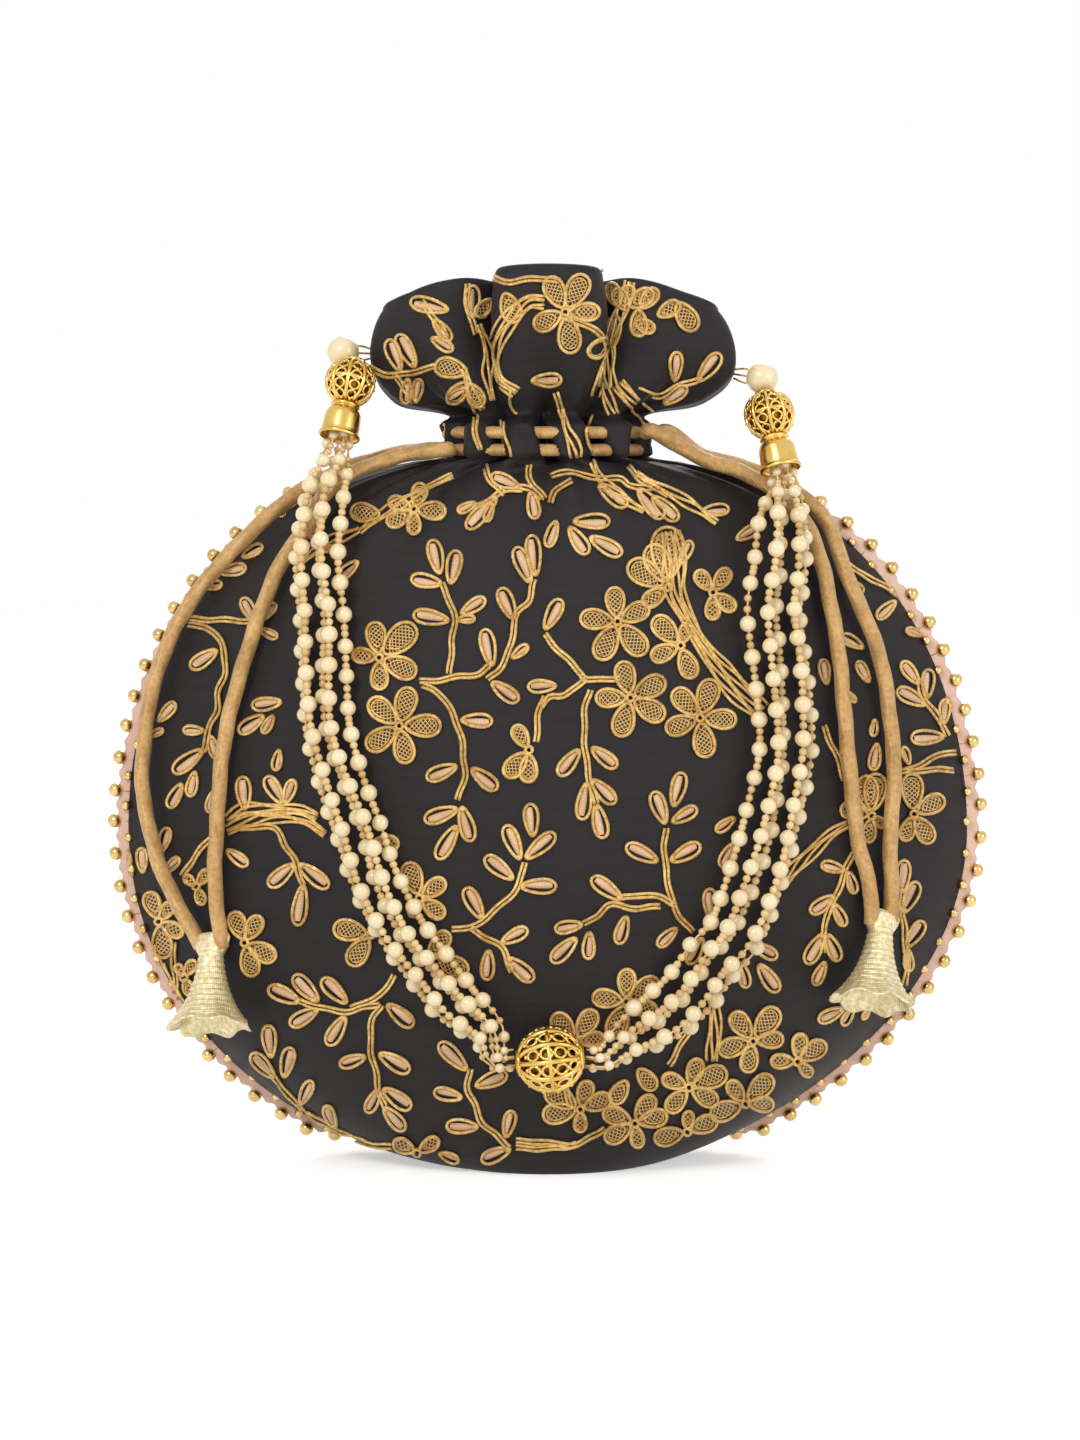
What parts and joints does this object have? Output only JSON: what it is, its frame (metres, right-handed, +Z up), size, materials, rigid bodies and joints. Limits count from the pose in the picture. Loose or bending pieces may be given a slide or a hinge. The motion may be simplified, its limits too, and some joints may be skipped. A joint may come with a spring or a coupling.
{
  "type": "potli bag",
  "caption": "Round drawstring potli pouch with a gathered neck, flared ruffle, beaded rim seam, two drawcords with bell tips and a swinging pearl handle.",
  "frame": {"origin": "middle of the flat base that the pouch stands on, under the neck", "axes": "+Z up through the neck, -Y out of the embroidered front where the handle hangs, +X to the right seen from the front"},
  "size_m": [0.2194, 0.0836, 0.222],
  "materials": {
    "black_satin": "soft sheen satin weave",
    "blush_lining": "plain satin",
    "gold_rim_beads": "polished gold-coloured beads",
    "gold_satin_cord": "satin rope",
    "pale_gold_ribbon": "ribbed metallic ribbon",
    "cream_pearl": "pearl lustre",
    "gold_filigree": "polished gold-coloured filigree"
  },
  "bodies": {
    "bag": {"front_panel": "black_satin", "back_panel": "black_satin", "lining": "blush_lining", "rim_trim": "gold_rim_beads", "drawcord_turn_left": "gold_satin_cord", "drawcord_turn_right": "gold_satin_cord", "drawcord_left_outer": "gold_satin_cord", "drawcord_left_inner": "gold_satin_cord", "drawcord_right_outer": "gold_satin_cord", "drawcord_right_inner": "gold_satin_cord", "bell_left": "pale_gold_ribbon", "bell_right": "pale_gold_ribbon"},
    "handle": {"end_pearl_left": "cream_pearl", "end_pearl_right": "cream_pearl", "end_ball_left": "gold_filigree", "end_ball_right": "gold_filigree", "end_cap_left": "gold_filigree", "end_cap_right": "gold_filigree", "strand_left_1": "cream_pearl", "strand_left_2": "cream_pearl", "strand_left_3": "cream_pearl", "strand_left_4": "cream_pearl", "strand_left_5": "cream_pearl", "strand_right_1": "cream_pearl", "strand_right_2": "cream_pearl", "strand_right_3": "cream_pearl", "strand_right_4": "cream_pearl", "strand_right_5": "cream_pearl", "centre_ball": "gold_filigree"}
  },
  "joints": [
    {"name": "handle_swing", "type": "hinge", "parent": "bag", "child": "handle", "pos_m": [0, -0.0115, 0.194], "axis": [-1, 0, 0], "range_deg": [0, 170]}
  ]
}
